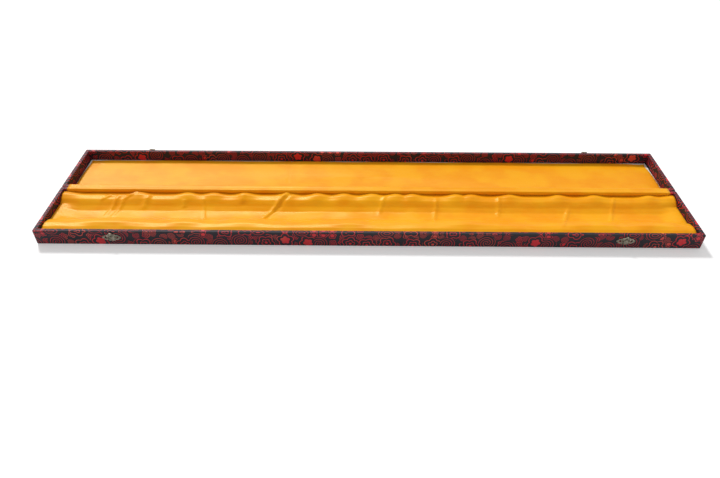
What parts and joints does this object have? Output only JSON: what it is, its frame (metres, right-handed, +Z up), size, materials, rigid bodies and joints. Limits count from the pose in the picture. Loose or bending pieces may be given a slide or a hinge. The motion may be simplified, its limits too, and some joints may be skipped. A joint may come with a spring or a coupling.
{
  "type": "box",
  "caption": "Long flat presentation box in brocade, lying open: padded satin tray, padded lid on a cloth hinge, and hasps along the front edge.",
  "frame": {"origin": "centre of the tray's underside, on the surface that the box lies on", "axes": "+X along the box to the right as seen from the latch side, +Y from the latch side of the tray towards the opened lid, +Z up out of the tray"},
  "size_m": [1.1, 0.26, 0.0286],
  "materials": {
    "brocade": "woven brocade, dark ground with red figures",
    "satin": "golden orange satin",
    "board": "thin raw board",
    "card": "grey pasteboard",
    "wadding": "white wadding",
    "bronze": "darkened bronze"
  },
  "bodies": {
    "tray": {"tray_bottom_board": "board", "tray_front_board": "board", "tray_hinge_board": "board", "tray_left_end_board": "board", "tray_right_end_board": "board", "tray_brocade": "brocade", "tray_underside_sheet": "brocade", "tray_front_roll": "wadding", "tray_rear_roll": "wadding", "tray_trough_wadding": "wadding", "tray_left_end_wadding": "wadding", "tray_right_end_wadding": "wadding", "tray_satin": "satin", "left_catch_plate": "bronze", "left_catch_nail_1": "bronze", "left_catch_nail_2": "bronze", "right_catch_plate": "bronze", "right_catch_nail_1": "bronze", "right_catch_nail_2": "bronze", "hinge_brocade": "brocade", "hinge_satin_strip": "satin"},
    "lid": {"lid_top_board": "board", "lid_front_board": "board", "lid_hinge_board": "board", "lid_left_end_board": "board", "lid_right_end_board": "board", "lid_brocade": "brocade", "lid_top_sheet": "brocade", "lid_pad_card": "card", "lid_pad_foam": "wadding", "lid_satin": "satin", "left_hasp_plate": "bronze", "left_hasp_pin": "bronze", "left_hasp_nail_1": "bronze", "left_hasp_nail_2": "bronze", "right_hasp_plate": "bronze", "right_hasp_pin": "bronze", "right_hasp_nail_1": "bronze", "right_hasp_nail_2": "bronze"},
    "left_tongue": {"left_hasp_tongue": "bronze"},
    "right_tongue": {"right_hasp_tongue": "bronze"}
  },
  "joints": [
    {"name": "lid_hinge", "type": "hinge", "parent": "tray", "child": "lid", "pos_m": [0, 0.0634, 0.0284], "axis": [1, 0, 0], "range_deg": [0, 180], "deforming": ["hinge_brocade", "hinge_satin_strip"]},
    {"name": "left_tongue_swing", "type": "hinge", "parent": "lid", "child": "left_tongue", "pos_m": [-0.422, 0.1917, 0.0271], "axis": [1, 0, 0], "range_deg": [0, 180]},
    {"name": "right_tongue_swing", "type": "hinge", "parent": "lid", "child": "right_tongue", "pos_m": [0.422, 0.1917, 0.0271], "axis": [1, 0, 0], "range_deg": [0, 180]}
  ]
}
